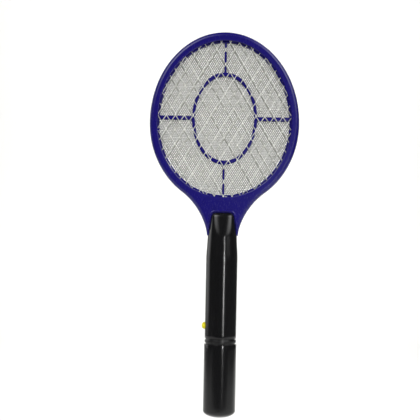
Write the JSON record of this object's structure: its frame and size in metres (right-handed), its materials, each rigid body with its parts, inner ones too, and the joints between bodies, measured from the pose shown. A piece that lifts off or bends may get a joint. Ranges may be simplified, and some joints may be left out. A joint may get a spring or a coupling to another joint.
{
  "type": "electric fly swatter",
  "caption": "Racket-shaped electric fly swatter with an oval rim holding wire grids, a tubular handle, a side push button and a pull-off battery cover.",
  "frame": {"origin": "centre of the object's box at its lowest point, which is the tip of the battery cover's domed end", "axes": "+Z along the handle towards the head, -Y out of the front face, -X the side with the push button"},
  "size_m": [0.194, 0.042, 0.5],
  "materials": {
    "blue_abs": "gloss",
    "black_abs": "gloss",
    "yellow_abs": "gloss",
    "expanded_aluminium": "satin",
    "wire_mesh": "satin",
    "tinned_brass": "satin",
    "zinc_steel": "satin",
    "phenolic_board": "matte",
    "ferrite": "matte",
    "bobbin_nylon": "matte",
    "winding_tape": "satin",
    "dipped_epoxy": "gloss",
    "blue_epoxy": "gloss",
    "black_epoxy": "matte",
    "tan_epoxy": "satin",
    "switch_nylon": "matte",
    "cell_can": "gloss",
    "red_pvc": "satin",
    "black_pvc": "satin"
  },
  "bodies": {
    "racket": {"front_ring": "blue_abs", "back_ring": "blue_abs", "front_rib_frame": "blue_abs", "back_rib_frame": "blue_abs", "front_grid": "expanded_aluminium", "back_grid": "expanded_aluminium", "inner_grid": "wire_mesh", "inner_grid_tab": "tinned_brass", "head_screws": "zinc_steel", "handle_front_shell": "black_abs", "handle_back_shell": "black_abs", "handle_screws": "zinc_steel", "circuit_board": "phenolic_board", "board_screws": "zinc_steel", "transformer_core": "ferrite", "transformer_bobbin": "bobbin_nylon", "transformer_winding": "winding_tape", "hv_capacitor": "dipped_epoxy", "multiplier_capacitors": "blue_epoxy", "transistor": "black_epoxy", "rectifier_diodes": "black_epoxy", "resistors": "tan_epoxy", "switch_body": "black_epoxy", "button_guide": "black_abs", "button_spring": "zinc_steel", "battery_tray": "black_abs", "tray_screw": "zinc_steel", "positive_contact": "tinned_brass", "negative_contact": "tinned_brass", "bridge_contact": "tinned_brass", "battery_1": "cell_can", "battery_2": "cell_can", "battery_lead_positive": "red_pvc", "battery_lead_negative": "black_pvc", "hv_lead": "red_pvc", "ground_lead": "black_pvc", "grid_link_lead": "black_pvc"},
    "cover": {"battery_cover": "black_abs"},
    "button": {"push_button": "yellow_abs", "switch_plunger": "switch_nylon"}
  },
  "joints": [
    {"name": "cover_pull", "type": "slide", "parent": "racket", "child": "cover", "axis": [0, 0, -1], "range_m": [0, 0.1]},
    {"name": "button_press", "type": "slide", "parent": "racket", "child": "button", "axis": [1, 0, 0], "range_m": [0, 0.002], "stiffness_N_per_m": 600, "springref_m": -0.001, "deforming": ["button_spring"]}
  ]
}
